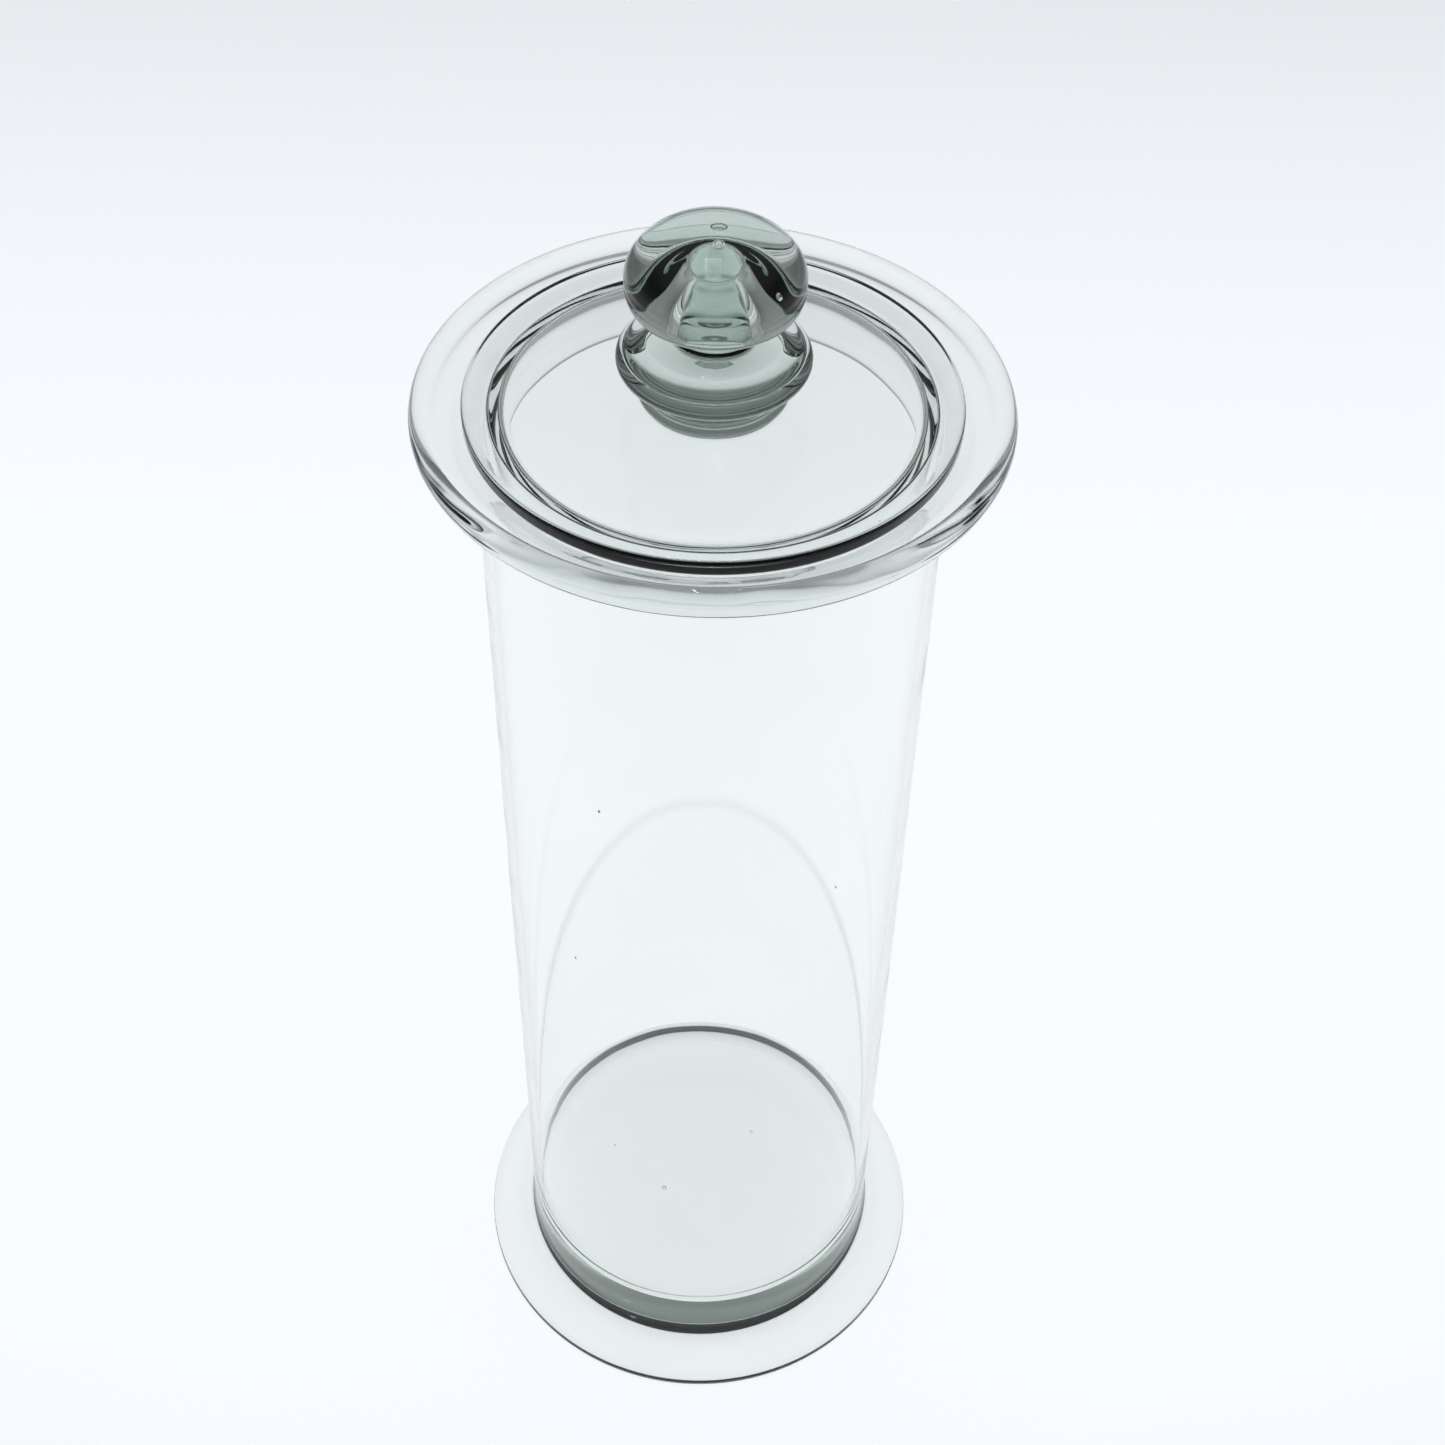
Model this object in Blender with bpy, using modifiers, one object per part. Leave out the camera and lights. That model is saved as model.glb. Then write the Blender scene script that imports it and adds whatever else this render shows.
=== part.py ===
"""A tall glass canister on a spread foot, with a drop-in lid and a ball knob.

Every piece is turned about the Z axis, in metres. The origin is the centre of the foot's underside.
The jar is a blown cylinder with a rim ring and a foot disc. The lid is a plate with a plug collar under it
and a knob on it, which is built of a pad, a merese (a wide rounded disc) and a ball on a short neck.
The lid lifts straight up out of the jar, along Z.
"""

import math

import bpy

# Driving dimensions
HEIGHT = 0.400
BODY_RADIUS = 0.0568
WALL = 0.0025
RIM_RADIUS = 0.0715
FOOT_RADIUS = 0.0717
LID_RADIUS = 0.0592
KNOB_RADIUS = 0.0207
GAP = 0.0003

# Jar. Heights are above the surface that the canister stands on.
FLOOR_HEIGHT = 0.0240
BORE_RADIUS = BODY_RADIUS - WALL
FLOOR_CORNER = 0.0080
BODY_CORNER = 0.0060
WALL_LIP = 0.0004
FOOT_SEAT_HEIGHT = 0.0100
FOOT_EDGE = 0.0030
FOOT_SHOULDER_LIP = 0.0008
RIM_TOP = 0.3559
RIM_EDGE = 0.0038
RIM_UNDER = 0.3435
RIM_CORNER = 0.0020
RIM_CORNER_RISE = 0.0027
RIM_REACH = 0.0068
RIM_BASE = RIM_UNDER - RIM_CORNER
FLARE_START = 0.3450
FLARE_LEAN = 0.0002
FLARE_BEND = 0.3496

# Lid. LID_HEIGHT is the top of the collar, and other heights are above that.
LID_HEIGHT = 0.3506
PLATE_THICKNESS = 0.0042
PLATE_EDGE = 0.0012
COLLAR_RADIUS = 0.0527
COLLAR_LOW_RADIUS = 0.0521
COLLAR_WALL = 0.0020
COLLAR_DROP = 0.0158
COLLAR_ROUND = 0.0009
PAD_RADIUS = 0.0181
PAD_HEIGHT = 0.0038
MERESE_RADIUS = 0.0229
MERESE_WAIST = 0.0170
MERESE_EDGE = 0.0024
MERESE_HEIGHT = 0.0116
MERESE_EDGE_HEIGHT = 0.0065
FLARE_RADIUS = 0.0110
NECK_RADIUS = 0.0088
NECK_HEIGHT = 0.0040
BALL_LOW = 0.0095
BALL_HIGH = 0.0122
BALL_LOW_POWER = 3.5

# Turning
STEPS = 48
KNOB_STEPS = 40
MERGE_DISTANCE = 0.00001


def arc(centre, radius, start, end, steps):
    """Points of an arc in the (r, z) plane, with angles in degrees. A pair as radius gives an ellipse."""
    across, up = radius if isinstance(radius, tuple) else (radius, radius)
    points = []
    for step in range(steps + 1):
        angle = math.radians(start + (end - start) * step / steps)
        points.append((centre[0] + across * math.cos(angle), centre[1] + up * math.sin(angle)))
    return points


def rounded(centre, size, power, start, end, steps):
    """Points of an arc like arc() makes, but squarer: a power over 2 fills the corners out."""
    points = []
    for step in range(steps + 1):
        angle = math.radians(start + (end - start) * step / steps)
        across = abs(math.cos(angle)) ** (2 / power)
        up = math.copysign(abs(math.sin(angle)) ** (2 / power), math.sin(angle))
        points.append((centre[0] + size[0] * across, centre[1] + size[1] * up))
    return points


def sweep(start, corner, end, steps):
    """Points of a curve from start to end that leaves and arrives pointing at the corner."""
    points = []
    for step in range(steps + 1):
        t = step / steps
        weights = ((1 - t) ** 2, 2 * t * (1 - t), t * t)
        points.append(tuple(
            weights[0] * a + weights[1] * b + weights[2] * c for a, b, c in zip(start, corner, end)
        ))
    return points


def glass(name, colour, roughness):
    """Clear glass of one tint."""
    material = bpy.data.materials.new(name)
    material.use_nodes = True
    shader = material.node_tree.nodes["Principled BSDF"]
    shader.inputs["Base Color"].default_value = (*colour, 1.0)
    shader.inputs["Roughness"].default_value = roughness
    shader.inputs["Metallic"].default_value = 0.0
    shader.inputs["Transmission Weight"].default_value = 1.0
    shader.inputs["IOR"].default_value = 1.5
    return material


def turned(name, outline, parent, height, material, ring=False, steps=STEPS):
    """A solid turned about Z. The outline holds (r, z) points that run down the piece's outer side.

    An open outline starts and ends on the axis. A ring's outline closes on itself.
    """
    count = len(outline)
    edges = [(i, i + 1) for i in range(count - 1)]
    if ring:
        edges.append((count - 1, 0))
    mesh = bpy.data.meshes.new(name)
    mesh.from_pydata([(r, 0.0, z) for r, z in outline], edges, [])
    mesh.materials.append(material)
    piece = bpy.data.objects.new(name, mesh)
    piece.parent = parent
    piece.location.z = height
    screw = piece.modifiers.new("Turn", "SCREW")
    screw.axis = "Z"
    screw.angle = math.tau
    screw.steps = steps
    screw.render_steps = steps
    screw.use_merge_vertices = True
    screw.merge_threshold = MERGE_DISTANCE
    screw.use_smooth_shade = True
    return piece


def make_jar_body(jar):
    """The cylinder with its thick floor, from the foot's seat up to the rim ring."""
    floor = FLOOR_HEIGHT - FOOT_SEAT_HEIGHT - GAP
    top = RIM_BASE - FOOT_SEAT_HEIGHT - 2 * GAP
    outline = [(0.0, floor)]
    outline += arc((BORE_RADIUS - FLOOR_CORNER, floor + FLOOR_CORNER), FLOOR_CORNER, -90, 0, 5)
    outline += [(BORE_RADIUS, top - WALL_LIP), (BORE_RADIUS + WALL_LIP, top)]
    outline += [(BODY_RADIUS - WALL_LIP, top), (BODY_RADIUS, top - WALL_LIP)]
    outline += arc((BODY_RADIUS - BODY_CORNER, BODY_CORNER), BODY_CORNER, 0, -90, 4)
    outline.append((0.0, 0.0))
    material = glass("jar_body_glass", (0.90, 0.94, 0.93), 0.02)
    return turned("jar_body", outline, jar, FOOT_SEAT_HEIGHT + GAP, material)


def make_jar_rim(jar):
    """The ring round the mouth. It flares out of the bore to a thick bead, and the lid rests in the flare."""
    bead = (RIM_RADIUS - RIM_EDGE, RIM_TOP - RIM_BASE - RIM_EDGE)
    start = (BORE_RADIUS, FLARE_START - RIM_BASE)
    bend = (BORE_RADIUS + FLARE_LEAN, FLARE_BEND - RIM_BASE)
    corner = (BODY_RADIUS + RIM_CORNER, RIM_CORNER_RISE)
    outline = sweep(start, bend, (bead[0], bead[1] + RIM_EDGE), 12)
    outline += arc(bead, RIM_EDGE, 90, -90, 8)[1:]
    outline += sweep(outline[-1], (corner[0] + RIM_REACH, bead[1] - RIM_EDGE), corner, 6)[1:]
    outline += sweep(corner, (BODY_RADIUS, RIM_CORNER), (BODY_RADIUS, 0.0), 3)[1:]
    outline.append((BORE_RADIUS, 0.0))
    material = glass("jar_rim_glass", (0.84, 0.90, 0.88), 0.02)
    return turned("jar_rim", outline, jar, RIM_BASE, material, ring=True)


def make_jar_foot(jar):
    """The foot disc. It has a flat underside, a rounded edge and a shoulder that rises round the body."""
    bead = (FOOT_RADIUS - FOOT_EDGE, FOOT_EDGE)
    inside = BODY_RADIUS + GAP
    corner = BODY_CORNER + GAP
    outline = [(0.0, FOOT_SEAT_HEIGHT)]
    outline += arc((inside - corner, FOOT_SEAT_HEIGHT + corner), corner, -90, -20, 4)
    lip_top = outline[-1][1] + FOOT_SHOULDER_LIP
    outline.append((outline[-1][0] + FOOT_SHOULDER_LIP, lip_top))
    outline += sweep(outline[-1], (inside + FOOT_EDGE, 2 * FOOT_EDGE + GAP), (bead[0], 2 * FOOT_EDGE), 5)[1:]
    outline += arc(bead, FOOT_EDGE, 90, -90, 8)[1:]
    outline.append((0.0, 0.0))
    material = glass("jar_foot_glass", (0.84, 0.90, 0.88), 0.02)
    return turned("jar_foot", outline, jar, 0.0, material)


def make_lid_plate(lid):
    """The flat disc with a rounded edge that rests in the rim's flare."""
    rim = LID_RADIUS - PLATE_EDGE
    outline = [(0.0, PLATE_THICKNESS)]
    outline += arc((rim, PLATE_THICKNESS - PLATE_EDGE), PLATE_EDGE, 90, 0, 4)
    outline += arc((rim, PLATE_EDGE), PLATE_EDGE, 0, -90, 4)
    outline.append((0.0, 0.0))
    material = glass("lid_plate_glass", (0.90, 0.94, 0.93), 0.02)
    return turned("lid_plate", outline, lid, GAP, material)


def make_lid_collar(lid):
    """The plug ring that hangs inside the mouth. It narrows downward to a rounded edge."""
    low = COLLAR_LOW_RADIUS - COLLAR_ROUND
    inner = COLLAR_LOW_RADIUS - COLLAR_WALL
    bottom = COLLAR_ROUND - COLLAR_DROP
    outline = [(COLLAR_RADIUS - COLLAR_WALL, 0.0), (COLLAR_RADIUS, 0.0)]
    outline += arc((low, bottom), COLLAR_ROUND, 0, -90, 3)
    outline += arc((inner + COLLAR_ROUND, bottom), COLLAR_ROUND, -90, -180, 3)
    material = glass("lid_collar_glass", (0.86, 0.91, 0.90), 0.02)
    return turned("lid_collar", outline, lid, 0.0, material, ring=True)


def make_knob_pad(lid):
    """The low ring of glass that holds the knob on the plate."""
    half = PAD_HEIGHT / 2
    outline = [(0.0, PAD_HEIGHT)]
    outline += arc((PAD_RADIUS - half, half), half, 90, -90, 6)
    outline.append((0.0, 0.0))
    material = glass("knob_pad_glass", (0.55, 0.62, 0.57), 0.02)
    return turned("knob_pad", outline, lid, 2 * GAP + PLATE_THICKNESS, material, steps=KNOB_STEPS)


def make_knob_merese(lid):
    """The wide rounded disc between the pad and the neck, with a crowned top."""
    edge = (MERESE_RADIUS - MERESE_EDGE, MERESE_EDGE_HEIGHT)
    outline = [(0.0, MERESE_HEIGHT), (FLARE_RADIUS, MERESE_HEIGHT)]
    outline += sweep(outline[-1], (edge[0], MERESE_HEIGHT - GAP), (edge[0], edge[1] + MERESE_EDGE), 3)[1:-1]
    outline += arc(edge, MERESE_EDGE, 75, -60, 6)
    outline += sweep(outline[-1], (MERESE_WAIST, edge[1] - MERESE_EDGE), (MERESE_WAIST, 0.0), 3)[1:]
    outline.append((0.0, 0.0))
    height = 3 * GAP + PLATE_THICKNESS + PAD_HEIGHT
    material = glass("knob_merese_glass", (0.50, 0.57, 0.52), 0.02)
    return turned("knob_merese", outline, lid, height, material, steps=KNOB_STEPS)


def make_knob_ball(lid):
    """The solid ball, flatter underneath, and the short neck under it, which flares out to the merese."""
    height = 4 * GAP + PLATE_THICKNESS + PAD_HEIGHT + MERESE_HEIGHT
    centre = (0.0, HEIGHT - LID_HEIGHT - height - BALL_HIGH)
    last = -math.degrees(math.acos((NECK_RADIUS / KNOB_RADIUS) ** (BALL_LOW_POWER / 2)))
    outline = arc(centre, (KNOB_RADIUS, BALL_HIGH), 90, 0, 8)
    outline[0] = (0.0, centre[1] + BALL_HIGH)
    outline += rounded(centre, (KNOB_RADIUS, BALL_LOW), BALL_LOW_POWER, 0, last, 10)[1:]
    outline += sweep((NECK_RADIUS, NECK_HEIGHT), (NECK_RADIUS, 0.0), (FLARE_RADIUS, 0.0), 3)
    outline.append((0.0, 0.0))
    material = glass("knob_ball_glass", (0.45, 0.52, 0.47), 0.02)
    return turned("knob_ball", outline, lid, height, material, steps=KNOB_STEPS)


def make_group(name, height, collection):
    """An empty on the axis that carries the pieces of one body."""
    group = bpy.data.objects.new(name, None)
    group.location.z = height
    collection.objects.link(group)
    return group


def main():
    for item in list(bpy.data.objects):
        bpy.data.objects.remove(item)
    canister = bpy.data.collections.new("glass_canister")
    bpy.context.scene.collection.children.link(canister)
    jar = make_group("jar", 0.0, canister)
    lid = make_group("lid", LID_HEIGHT, canister)
    pieces = [
        make_jar_body(jar),
        make_jar_rim(jar),
        make_jar_foot(jar),
        make_lid_plate(lid),
        make_lid_collar(lid),
        make_knob_pad(lid),
        make_knob_merese(lid),
        make_knob_ball(lid),
    ]
    for piece in pieces:
        canister.objects.link(piece)


main()
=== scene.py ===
"""Looks of the glass canister: one continuous piece of glass for the jar, and one for the lid and knob."""

import math

import bmesh
import bpy
from mathutils import Matrix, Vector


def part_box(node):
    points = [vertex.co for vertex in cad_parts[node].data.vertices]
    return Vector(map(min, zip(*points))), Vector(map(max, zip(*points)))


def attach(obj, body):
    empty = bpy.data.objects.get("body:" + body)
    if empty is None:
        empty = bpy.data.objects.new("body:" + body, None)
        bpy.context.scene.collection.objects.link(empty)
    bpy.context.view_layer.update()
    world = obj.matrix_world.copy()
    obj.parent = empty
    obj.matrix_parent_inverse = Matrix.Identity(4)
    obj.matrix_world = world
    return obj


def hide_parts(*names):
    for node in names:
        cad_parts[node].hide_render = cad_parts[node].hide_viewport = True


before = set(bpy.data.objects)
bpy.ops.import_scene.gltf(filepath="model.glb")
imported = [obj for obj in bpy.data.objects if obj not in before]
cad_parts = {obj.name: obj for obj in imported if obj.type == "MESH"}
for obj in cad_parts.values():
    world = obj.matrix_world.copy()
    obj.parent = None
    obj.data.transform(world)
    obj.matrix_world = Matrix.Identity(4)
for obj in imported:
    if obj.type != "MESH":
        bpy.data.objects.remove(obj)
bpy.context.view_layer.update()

AROUND = 288
SAME_POINT = 1e-6
JAR_NODES = ("jar_body", "jar_rim", "jar_foot")
LID_NODES = ("lid_plate", "lid_collar", "knob_pad", "knob_merese", "knob_ball")
BOXES = {node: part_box(node) for node in JAR_NODES + LID_NODES}


def top(node):
    return BOXES[node][1].z


def bottom(node):
    return BOXES[node][0].z


def radius(node):
    return BOXES[node][1].x


# ---------------------------------------------------------------- outlines

def arc(centre, size, start, end, steps):
    """Points of an arc in the (r, z) plane, with angles in degrees."""
    points = []
    for step in range(steps + 1):
        angle = math.radians(start + (end - start) * step / steps)
        points.append((centre[0] + size * math.cos(angle), centre[1] + size * math.sin(angle)))
    return points


def sweep(start, corner, end, steps):
    """Points of a curve from start to end that leaves and arrives pointing at the corner."""
    points = []
    for step in range(steps + 1):
        t = step / steps
        weights = ((1 - t) ** 2, 2 * t * (1 - t), t * t)
        points.append(tuple(
            weights[0] * a + weights[1] * b + weights[2] * c for a, b, c in zip(start, corner, end)
        ))
    return points


def rounded(centre, size, power, start, end, steps):
    """Points of an arc like arc() makes, but squarer: a power over 2 fills the corners out."""
    points = []
    for step in range(steps + 1):
        angle = math.radians(start + (end - start) * step / steps)
        across = abs(math.cos(angle)) ** (2 / power)
        up = math.copysign(abs(math.sin(angle)) ** (2 / power), math.sin(angle))
        points.append((centre[0] + size[0] * across, centre[1] + size[1] * up))
    return points


def line(start, end, steps):
    """Points of a straight stretch, both ends included."""
    return [
        tuple(a + (b - a) * step / steps for a, b in zip(start, end)) for step in range(steps + 1)
    ]


def joined(*runs):
    """One outline from several runs of points, with each shared point kept once."""
    points = []
    for run in runs:
        for point in run:
            if not points or math.dist(point, points[-1]) > SAME_POINT:
                points.append(point)
    return points


# ---------------------------------------------------------------- meshes

def turned(name, outline, around, wobble):
    """A closed body turned about Z from an outline that starts and ends on the axis.

    wobble(r, z, angle) gives the change of radius and height that hand work leaves at that point.
    """
    builder = bmesh.new()
    rings = []
    for r, z in outline:
        if r < SAME_POINT:
            rings.append([builder.verts.new((0.0, 0.0, z))])
            continue
        ring = []
        for step in range(around):
            angle = math.tau * step / around
            out, up = wobble(r, z, angle)
            ring.append(builder.verts.new((
                (r + out) * math.cos(angle), (r + out) * math.sin(angle), z + up,
            )))
        rings.append(ring)
    for upper, lower in zip(rings, rings[1:]):
        for step in range(around):
            after = (step + 1) % around
            corners = [upper[step % len(upper)], lower[step % len(lower)]]
            if len(lower) > 1:
                corners.append(lower[after])
            if len(upper) > 1:
                corners.append(upper[after])
            builder.faces.new(corners)
    return name, builder


BUBBLE_AROUND = 20
BUBBLE_RINGS = 12
UNSTRETCHED = (1.0, 1.0, 1.0)


def add_bubble(builder, centre, size, stretch=UNSTRETCHED):
    """A small pocket of air inside the glass. Its faces look into the pocket."""
    shape = Matrix.Translation(centre) @ Matrix.Diagonal((*stretch, 1.0))
    made = bmesh.ops.create_uvsphere(
        builder, u_segments=BUBBLE_AROUND, v_segments=BUBBLE_RINGS, radius=size, matrix=shape,
    )
    faces = {face for vert in made["verts"] for face in vert.link_faces}
    bmesh.ops.reverse_faces(builder, faces=list(faces))


def finished(name, builder, material, body, nodes):
    """The mesh as a smooth object that rides on its body and stands for its CAD nodes."""
    mesh = bpy.data.meshes.new(name)
    builder.to_mesh(mesh)
    builder.free()
    mesh.shade_smooth()
    mesh.materials.append(material)
    piece = bpy.data.objects.new(name, mesh)
    bpy.context.scene.collection.objects.link(piece)
    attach(piece, body)
    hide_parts(*nodes)
    return piece


# ---------------------------------------------------------------- hand work

def ripple(angle, waves):
    """A slow uneven curve round the axis, between about -1 and 1. Each wave is (count, share, start)."""
    return sum(share * math.sin(count * angle + start) for count, share, start in waves)


def near(value, centre, reach):
    """1 at the centre, easing to 0 at the reach on both sides."""
    away = min(abs(value - centre) / reach, 1.0)
    return (1 - away * away) ** 2


# ---------------------------------------------------------------- jar

WALL = 0.0025
FLOOR = 0.0240
FLOOR_CORNER = 0.0080
FLARE_START = 0.3450
FLARE_LEAN = 0.0002
FLARE_BEND = 0.3496
RIM_EDGE = 0.0038
RIM_UNDER = 0.3435
RIM_REACH = 0.0068
RIM_CORNER = 0.0020
RIM_CORNER_LIFT = 0.35
FOOT_EDGE = 0.0030
SHOULDER = 0.0040
SHOULDER_BEND = 0.0020
SHOULDER_OUT = 0.0060
SHOULDER_LIP = 0.0008
WALL_WAVE = 0.00012
CORNER_WAVE = 0.0003
CORNER_REACH = 0.0060
CORNER_WIDTH = 3 * RIM_CORNER
CORNER_OFFSET = 1.0
WALL_TWIST = 4.0
WALL_WAVES = ((2, 0.5, 0.4), (3, 0.3, 2.1), (7, 0.2, 4.0))
CORNER_WAVES = ((3, 0.25, 1.0), (7, 0.2, 0.3), (11, 0.25, 2.6), (17, 0.2, 5.1), (29, 0.1, 3.3))
WALL_BREAK = 0.0450
SEED_STRETCH = (1.0, 1.0, 1.6)
# Seeds in the wall as (angle in degrees, height, radius), and in the floor as (place, radius).
WALL_SEEDS = (
    (-118, 0.262, 0.00035),
    (-128, 0.195, 0.00030),
    (-52, 0.228, 0.00030),
    (150, 0.118, 0.00030),
    (35, 0.290, 0.00035),
)
FLOOR_SEEDS = (
    ((-0.012, -0.006, 0.014), 0.0008),
    ((0.018, 0.016, 0.017), 0.0005),
    ((-0.030, 0.010, 0.015), 0.0004),
)


def jar_outline():
    """From the jar's floor up its bore, over the rim, down its outer side and under the foot."""
    outer = radius("jar_body")
    bore = outer - WALL
    bend = FLOOR + FLOOR_CORNER
    bead = (radius("jar_rim") - RIM_EDGE, top("jar_rim") - RIM_EDGE)
    under = bead[1] - RIM_EDGE
    corner = (outer + RIM_CORNER, RIM_UNDER + RIM_CORNER_LIFT * RIM_CORNER)
    foot_bead = (radius("jar_foot") - FOOT_EDGE, FOOT_EDGE)
    foot_top = 2 * FOOT_EDGE
    shoulder = top("jar_foot") + SHOULDER
    step = (outer + SHOULDER_OUT, foot_top + SHOULDER_LIP)
    return joined(
        line((0.0, FLOOR), (bore - FLOOR_CORNER, FLOOR), steps=10),
        arc((bore - FLOOR_CORNER, bend), FLOOR_CORNER, -90, 0, steps=14),
        line((bore, bend), (bore, FLARE_START), steps=60),
        sweep((bore, FLARE_START), (bore + FLARE_LEAN, FLARE_BEND), (bead[0], bead[1] + RIM_EDGE), steps=44),
        arc(bead, RIM_EDGE, 90, -90, steps=28),
        sweep((bead[0], under), (corner[0] + RIM_REACH, under), corner, steps=20),
        sweep(corner, (outer, RIM_UNDER), (outer, RIM_UNDER - RIM_CORNER), steps=10),
        line((outer, RIM_UNDER - RIM_CORNER), (outer, RIM_UNDER - WALL_BREAK), steps=40),
        line((outer, RIM_UNDER - WALL_BREAK), (outer, shoulder), steps=40),
        sweep((outer, shoulder), (outer, foot_top + SHOULDER_BEND), step, steps=14),
        sweep(step, (step[0] + SHOULDER / 2, foot_top), (foot_bead[0], foot_top), steps=8),
        arc(foot_bead, FOOT_EDGE, 90, -90, steps=24),
        line((foot_bead[0], 0.0), (0.0, 0.0), steps=10),
    )


def jar_wobble(r, z, angle):
    """Slow waves in the wall, and an uneven corner where the rim turns out of the body."""
    on_wall = near(z, (RIM_UNDER + FLOOR) / 2, (RIM_UNDER - FLOOR) / 2)
    out = WALL_WAVE * on_wall * ripple(angle + WALL_TWIST * z, WALL_WAVES)
    at_corner = near(z, RIM_UNDER, CORNER_REACH) if r < radius("jar_body") + CORNER_WIDTH else 0.0
    out += CORNER_WAVE * at_corner * ripple(angle, CORNER_WAVES)
    return out, CORNER_WAVE * at_corner * ripple(angle + CORNER_OFFSET, CORNER_WAVES)


def make_jar(material):
    name, builder = turned("jar_glass", jar_outline(), AROUND, jar_wobble)
    wall = radius("jar_body") - WALL / 2
    for angle, height, size in WALL_SEEDS:
        place = (wall * math.cos(math.radians(angle)), wall * math.sin(math.radians(angle)), height)
        add_bubble(builder, place, size, SEED_STRETCH)
    for place, size in FLOOR_SEEDS:
        add_bubble(builder, place, size)
    return finished(name, builder, material, "jar", JAR_NODES)


# ---------------------------------------------------------------- lid

PLATE_EDGE = 0.0012
COLLAR_TOP = 0.0527
COLLAR_LOW = 0.0521
COLLAR_WALL = 0.0020
COLLAR_FILLET = 0.0012
COLLAR_BEND = 0.0025
COLLAR_WAVE = 0.0005
COLLAR_OFFSET = 2.0
COLLAR_WAVES = ((2, 0.3, 0.0), (5, 0.25, 1.9), (9, 0.25, 0.7), (14, 0.2, 3.9))
BALL_MIDDLE = 0.3878
BALL_POWER = 2.0
BALL_LOW = 0.0095
BALL_LOW_POWER = 3.5
HOLLOW = 0.0130
HOLLOW_SLOPE = 0.0045
HOLLOW_SAG = 0.0008
HOLLOW_RISE = 0.0080
HOLLOW_ROUND = 0.0004
STEM_TOP = 0.0050
STEM_LEAN = 0.5
STEM_BEND = 0.45
NECK = 0.0088
NECK_HEIGHT = 0.3758
NECK_FOOT = 0.0004
FLARE = (0.0110, 0.3722)
FLARE_OUT = 0.0148
MERESE_TOP = 0.3711
MERESE_DROP = 0.0003
MERESE_CROWN = (0.0012, 0.0002)
MERESE_EDGE = 0.0024
MERESE_EDGE_HEIGHT = 0.3660
MERESE_SHOULDER = (0.27, 0.96)
MERESE_TUCK = (0.5, 0.866)
MERESE_TURN = (75, -60)
WAIST = 0.0170
WAIST_FOOT = 0.0003
PAD_TURN = 80
# Bubbles in the ball as (place, radius, stretch along each axis).
KNOB_BUBBLES = (
    ((0.0005, 0.0030, 0.3972), 0.0016, (1.2, 0.8, 0.7)),
    ((0.0005, -0.0012, 0.3945), 0.0013, (1.0, 1.0, 1.2)),
    ((0.0125, -0.0080, 0.3880), 0.0007, UNSTRETCHED),
)


def ball_outline():
    """The ball's upper half, its flatter underside, the hollow round the stem, and the stem."""
    wide = radius("knob_ball")
    middle = (0.0, BALL_MIDDLE)
    last = -math.degrees(math.acos((HOLLOW / wide) ** (BALL_LOW_POWER / 2)))
    under = rounded(middle, (wide, BALL_LOW), BALL_LOW_POWER, 0, last, steps=40)
    lip = under[-1]
    roof = lip[1] + HOLLOW_RISE
    inside = STEM_TOP + HOLLOW_ROUND
    stem = (STEM_TOP - HOLLOW_ROUND, roof)
    lean = (stem[0] + (NECK - STEM_TOP) * STEM_LEAN, NECK_HEIGHT + STEM_BEND * (roof - NECK_HEIGHT))
    return joined(
        rounded(middle, (wide, top("knob_ball") - BALL_MIDDLE), BALL_POWER, 90, 0, steps=40),
        under,
        sweep(lip, (inside + HOLLOW_SLOPE, lip[1] - HOLLOW_SAG), (inside, roof), steps=20),
        arc((STEM_TOP, roof), HOLLOW_ROUND, 0, 180, steps=6),
        sweep(stem, lean, (NECK, NECK_HEIGHT), steps=16),
    )


def merese_outline():
    """From the neck over the wide disc's crown, round its edge and in to the waist."""
    edge = (radius("knob_merese") - MERESE_EDGE, MERESE_EDGE_HEIGHT)
    crown = (FLARE_OUT + MERESE_CROWN[0], MERESE_TOP - MERESE_CROWN[1])
    shoulder = (edge[0] + MERESE_SHOULDER[0] * MERESE_EDGE, edge[1] + MERESE_SHOULDER[1] * MERESE_EDGE)
    tuck = (edge[0] + MERESE_TUCK[0] * MERESE_EDGE, edge[1] - MERESE_TUCK[1] * MERESE_EDGE)
    return joined(
        sweep((NECK, NECK_HEIGHT), (NECK, FLARE[1] + NECK_FOOT), FLARE, steps=10),
        sweep(FLARE, (FLARE_OUT, MERESE_TOP), crown, steps=8),
        sweep(crown, (edge[0], MERESE_TOP - MERESE_DROP), shoulder, steps=20),
        arc(edge, MERESE_EDGE, *MERESE_TURN, steps=20),
        sweep(tuck, (WAIST, edge[1] - MERESE_EDGE), (WAIST, top("knob_pad") + WAIST_FOOT), steps=12),
    )


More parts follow.
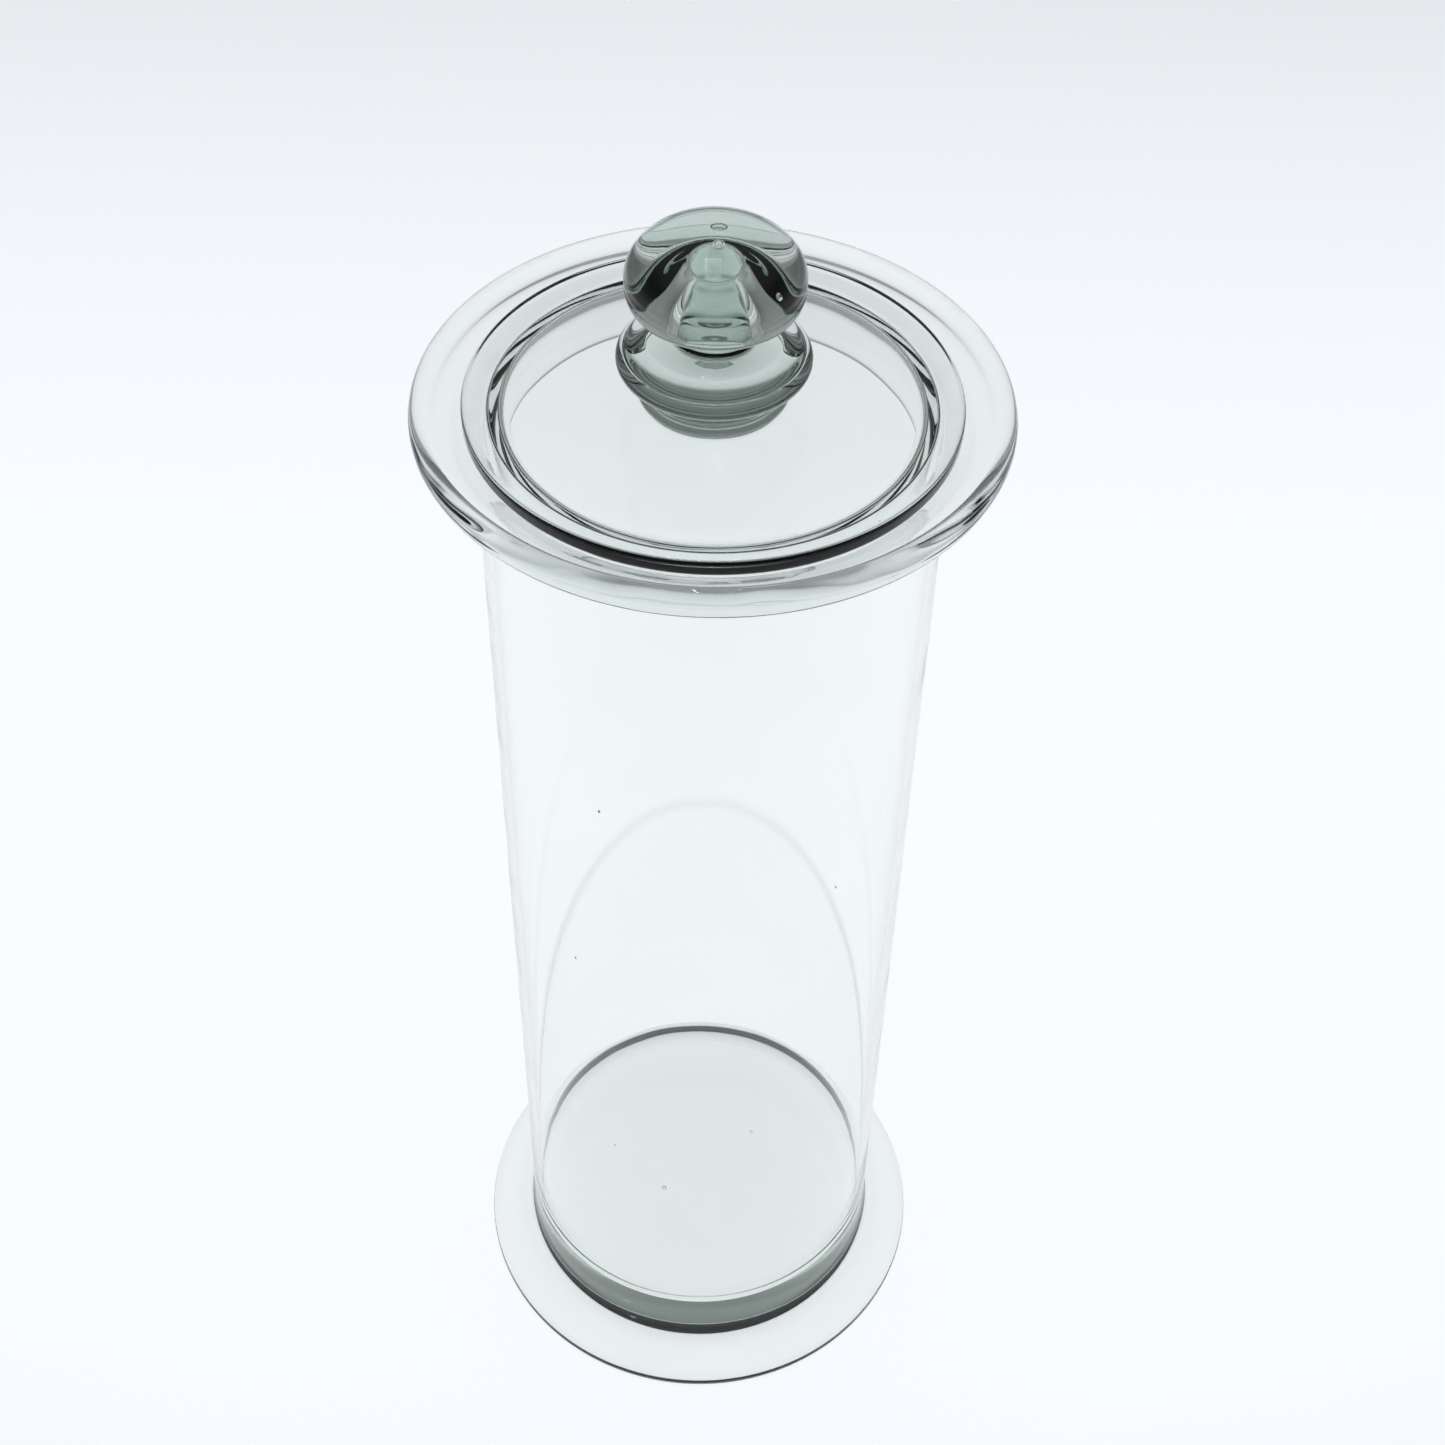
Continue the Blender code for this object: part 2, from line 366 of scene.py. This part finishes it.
def plate_outline():
    """From the pad over the plate, round its edge, down the collar and back to the axis under the plate."""
    pad_half = (top("knob_pad") - bottom("knob_pad")) / 2
    pad = (radius("knob_pad") - pad_half, bottom("knob_pad") + pad_half)
    upper = top("lid_plate")
    under = bottom("lid_plate")
    rim = radius("lid_plate") - PLATE_EDGE
    low = bottom("lid_collar")
    half = COLLAR_WALL / 2
    inner = COLLAR_TOP - COLLAR_WALL
    fillet_end = (COLLAR_TOP, under - COLLAR_FILLET)
    return joined(
        arc(pad, pad_half, PAD_TURN, -PAD_TURN, steps=14),
        line((pad[0] + pad_half / 2, upper), (rim, upper), steps=40),
        arc((rim, upper - PLATE_EDGE), PLATE_EDGE, 90, 0, steps=10),
        arc((rim, under + PLATE_EDGE), PLATE_EDGE, 0, -90, steps=10),
        line((rim, under), (COLLAR_TOP + COLLAR_FILLET, under), steps=4),
        sweep((COLLAR_TOP + COLLAR_FILLET, under), (COLLAR_TOP, under), fillet_end, steps=8),
        line(fillet_end, (COLLAR_LOW, low + half), steps=16),
        arc((COLLAR_LOW - half, low + half), half, 0, -180, steps=14),
        line((COLLAR_LOW - COLLAR_WALL, low + half), (inner, under - COLLAR_BEND), steps=16),
        sweep((inner, under - COLLAR_BEND), (inner, under), (inner - COLLAR_BEND, under), steps=8),
        line((inner - COLLAR_BEND, under), (0.0, under), steps=12),
    )


def lid_outline():
    return joined(ball_outline(), merese_outline(), plate_outline())


def lid_wobble(r, z, angle):
    """The collar's free edge is uneven. The rest of the lid is true."""
    low = bottom("lid_collar")
    span = bottom("lid_plate") - low
    share = max(0.0, 1 - (z - low) / span) if z < bottom("lid_plate") else 0.0
    out = COLLAR_WAVE / 2 * share * ripple(angle + COLLAR_OFFSET, COLLAR_WAVES)
    return out, COLLAR_WAVE * share * (1 + ripple(angle, COLLAR_WAVES))


def make_lid(material):
    name, builder = turned("lid_glass", lid_outline(), AROUND, lid_wobble)
    for place, size, stretch in KNOB_BUBBLES:
        add_bubble(builder, place, size, stretch)
    return finished(name, builder, material, "lid", LID_NODES)


# ---------------------------------------------------------------- materials

ABSORBED = (0.0, 0.25, 0.10)
JAR_DENSITY = 6.0
LID_DENSITY = 15.0
STREAK_SCALE = 35.0
STREAK_DEPTH = 0.00004
SHADES = ((0.97, 0.985, 0.98), (1.0, 1.0, 1.0))
GLASS_IOR = 1.5


def glass_material(name, density):
    """Clear glass that takes its grey-green from its depth, with faint streaks in its tint and surface."""
    material = bpy.data.materials.new(name)
    material.use_nodes = True
    tree = material.node_tree
    shader = tree.nodes["Principled BSDF"]
    shader.inputs["Roughness"].default_value = 0.0
    shader.inputs["Transmission Weight"].default_value = 1.0
    shader.inputs["IOR"].default_value = GLASS_IOR
    place = tree.nodes.new("ShaderNodeTexCoord")
    streaks = tree.nodes.new("ShaderNodeTexNoise")
    streaks.inputs["Scale"].default_value = STREAK_SCALE
    streaks.inputs["Detail"].default_value = 1.0
    tree.links.new(place.outputs["Object"], streaks.inputs["Vector"])
    shades = tree.nodes.new("ShaderNodeValToRGB")
    for stop, shade in zip(shades.color_ramp.elements, SHADES):
        stop.color = (*shade, 1.0)
    tree.links.new(streaks.outputs["Fac"], shades.inputs["Fac"])
    tree.links.new(shades.outputs["Color"], shader.inputs["Base Color"])
    bump = tree.nodes.new("ShaderNodeBump")
    bump.inputs["Distance"].default_value = STREAK_DEPTH
    tree.links.new(streaks.outputs["Fac"], bump.inputs["Height"])
    tree.links.new(bump.outputs["Normal"], shader.inputs["Normal"])
    absorb = tree.nodes.new("ShaderNodeVolumeAbsorption")
    absorb.inputs["Color"].default_value = (*ABSORBED, 1.0)
    absorb.inputs["Density"].default_value = density
    output = tree.nodes["Material Output"]
    tree.links.new(absorb.outputs["Volume"], output.inputs["Volume"])
    return material


# ---------------------------------------------------------------- stage

FLOOR_COLOUR = (0.95, 0.97, 1.0)
FLOOR_GREY = (0.40, 0.42, 0.44)
FLOOR_ROUGHNESS = 0.9
FLOOR_SIDES = 96
FLOOR_RADIUS = 6.0
FLOOR_DROP = 0.0004
FLOOR_NEAR = 0.89
FLOOR_FAR = 0.36
POOL_CENTRE = (0.0, 0.55, 0.0)
POOL_NEAR = 0.60
POOL_FAR = 1.15
BACK_NEAR = 0.20
BACK_FAR = 1.60
BACK_LEVEL = 0.56
SKY_BACK = ((0.0, 0.5), (0.50, 0.5), (0.54, 0.4), (0.60, 0.3), (0.75, 0.3), (0.88, 0.42), (1.0, 0.45))
SKY_SIDE = ((0.0, 0.4), (0.50, 0.4), (0.54, 0.3), (0.60, 0.2), (0.75, 0.15), (0.88, 0.30), (1.0, 0.42))
SKY_FRONT = ((0.0, 0.38), (0.50, 0.38), (0.54, 0.25), (0.60, 0.12), (0.75, 0.08), (0.88, 0.20), (1.0, 0.40))


def smooth_range(tree, value, low, high, level_low, level_high):
    """A node that eases from level_low to level_high as the value goes from low to high."""
    node = tree.nodes.new("ShaderNodeMapRange")
    node.interpolation_type = "SMOOTHSTEP"
    node.inputs["From Min"].default_value = low
    node.inputs["From Max"].default_value = high
    node.inputs["To Min"].default_value = level_low
    node.inputs["To Max"].default_value = level_high
    tree.links.new(value, node.inputs["Value"])
    return node.outputs["Result"]


def product(tree, first, second):
    node = tree.nodes.new("ShaderNodeMath")
    node.operation = "MULTIPLY"
    tree.links.new(first, node.inputs[0])
    tree.links.new(second, node.inputs[1])
    return node.outputs["Value"]


def floor_material(name):
    """Glowing pale floor whose glow is painted light: a painted pool of light, brightest behind and beside
    the canister, and painted shade, darker in front and far off.
    """
    material = bpy.data.materials.new(name)
    material.use_nodes = True
    tree = material.node_tree
    shader = tree.nodes["Principled BSDF"]
    shader.inputs["Base Color"].default_value = (*FLOOR_GREY, 1.0)
    shader.inputs["Roughness"].default_value = FLOOR_ROUGHNESS
    shader.inputs["Emission Color"].default_value = (*FLOOR_COLOUR, 1.0)
    place = tree.nodes.new("ShaderNodeTexCoord")
    away = tree.nodes.new("ShaderNodeVectorMath")
    away.operation = "DISTANCE"
    away.inputs[1].default_value = POOL_CENTRE
    tree.links.new(place.outputs["Object"], away.inputs[0])
    parts = tree.nodes.new("ShaderNodeSeparateXYZ")
    tree.links.new(place.outputs["Object"], parts.inputs["Vector"])
    # Painted light: the emission is a painted pool of light round POOL_CENTRE, painted shade in front, and a
    # painted fade towards the back and far off.
    pool = smooth_range(tree, away.outputs["Value"], POOL_NEAR, POOL_FAR, FLOOR_NEAR, FLOOR_FAR)
    back = smooth_range(tree, parts.outputs["Y"], BACK_NEAR, BACK_FAR, 1.0, BACK_LEVEL)
    tree.links.new(product(tree, pool, back), shader.inputs["Emission Strength"])
    return material


def make_floor():
    builder = bmesh.new()
    bmesh.ops.create_circle(builder, cap_ends=True, segments=FLOOR_SIDES, radius=FLOOR_RADIUS)
    mesh = bpy.data.meshes.new("floor")
    builder.to_mesh(mesh)
    builder.free()
    mesh.materials.append(floor_material("floor_painted_glow"))
    floor = bpy.data.objects.new("floor", mesh)
    floor.location.z = -FLOOR_DROP
    bpy.context.scene.collection.objects.link(floor)
    return floor


LAMP_ROWS = 7
LAMPS = 9
LAMP_PITCH = (0.026, 0.045)
LAMP_SIZE = (0.005, 0.014)
LAMP_PLACE = (-0.03, 0.16, 1.25)
LAMP_POWER = 40.0


def make_lamps():
    """Rows of small lamps overhead, which only the glass's reflections pick out."""
    builder = bmesh.new()
    for row in range(LAMP_ROWS):
        for lamp in range(LAMPS):
            x = LAMP_PLACE[0] + (row - (LAMP_ROWS - 1) / 2) * LAMP_PITCH[0]
            y = LAMP_PLACE[1] + (lamp - (LAMPS - 1) / 2) * LAMP_PITCH[1]
            wide, deep = LAMP_SIZE
            builder.faces.new([
                builder.verts.new((x + side * wide / 2, y + end * deep / 2, LAMP_PLACE[2]))
                for side, end in ((-1, 1), (1, 1), (1, -1), (-1, -1))
            ])
    mesh = bpy.data.meshes.new("lamps")
    builder.to_mesh(mesh)
    builder.free()
    material = bpy.data.materials.new("lamp_glow")
    material.use_nodes = True
    shader = material.node_tree.nodes["Principled BSDF"]
    shader.inputs["Base Color"].default_value = (0.0, 0.0, 0.0, 1.0)
    shader.inputs["Emission Color"].default_value = (*FLOOR_COLOUR, 1.0)
    shader.inputs["Emission Strength"].default_value = LAMP_POWER
    material.cycles.emission_sampling = "NONE"
    mesh.materials.append(material)
    lamps = bpy.data.objects.new("lamps", mesh)
    lamps.visible_camera = False
    lamps.visible_diffuse = False
    lamps.visible_shadow = False
    bpy.context.scene.collection.objects.link(lamps)


LENS = 54.54
SENSOR = 36.0
EYE = (0.00259, -0.40940, 0.67407)
EYE_TURN = -0.003515
EYE_DOWN = 0.811228
EYE_ROLL = 0.025286


def make_camera():
    data = bpy.data.cameras.new("camera")
    data.lens = LENS
    data.sensor_width = SENSOR
    camera = bpy.data.objects.new("camera", data)
    turn = Matrix.Rotation(EYE_TURN, 4, "Z")
    tilt = Matrix.Rotation(math.pi / 2 - EYE_DOWN, 4, "X")
    roll = Matrix.Rotation(EYE_ROLL, 4, "Z")
    camera.matrix_world = Matrix.Translation(EYE) @ turn @ tilt @ roll
    bpy.context.scene.collection.objects.link(camera)
    bpy.context.scene.camera = camera


SKY_TURN = (0.2, 0.8)


def sky_ramp(tree, height, levels):
    """A ramp of brightness from straight down (0) through the horizon (0.5) to straight up (1)."""
    ramp = tree.nodes.new("ShaderNodeValToRGB")
    ramp.color_ramp.interpolation = "EASE"
    stops = ramp.color_ramp.elements
    while len(stops) < len(levels):
        stops.new(0.5)
    for stop, (where, level) in zip(stops, levels):
        stop.position = where
        stop.color = (*(level * part for part in FLOOR_COLOUR), 1.0)
    tree.links.new(height, ramp.inputs["Fac"])
    return ramp.outputs["Color"]


def blended(tree, share, first, second):
    node = tree.nodes.new("ShaderNodeMix")
    node.data_type = "RGBA"
    tree.links.new(share, node.inputs["Factor"])
    tree.links.new(first, node.inputs[6])
    tree.links.new(second, node.inputs[7])
    return node.outputs[2]


def make_world():
    """A studio that is darkest at eye level in front of the canister, and palest behind it and overhead."""
    world = bpy.data.worlds.new("studio")
    world.use_nodes = True
    bpy.context.scene.world = world
    tree = world.node_tree
    sky = tree.nodes["Background"]
    sky.inputs["Strength"].default_value = 1.0
    place = tree.nodes.new("ShaderNodeTexCoord")
    parts = tree.nodes.new("ShaderNodeSeparateXYZ")
    tree.links.new(place.outputs["Generated"], parts.inputs["Vector"])
    height = tree.nodes.new("ShaderNodeMapRange")
    height.inputs["From Min"].default_value = -1.0
    tree.links.new(parts.outputs["Z"], height.inputs["Value"])
    side, back, front = (
        sky_ramp(tree, height.outputs["Result"], levels) for levels in (SKY_SIDE, SKY_BACK, SKY_FRONT)
    )
    to_back = smooth_range(tree, parts.outputs["Y"], *SKY_TURN, 0.0, 1.0)
    to_front = smooth_range(tree, parts.outputs["Y"], -SKY_TURN[1], -SKY_TURN[0], 1.0, 0.0)
    round_back = blended(tree, to_back, side, back)
    tree.links.new(blended(tree, to_front, round_back, front), sky.inputs["Color"])


BOUNCES = 24

make_camera()
make_world()
make_floor()
make_lamps()
make_jar(glass_material("jar_clear", JAR_DENSITY))
make_lid(glass_material("lid_clear", LID_DENSITY))
scene = bpy.context.scene
scene.view_settings.view_transform = "Standard"
scene.cycles.max_bounces = BOUNCES
scene.cycles.transmission_bounces = BOUNCES
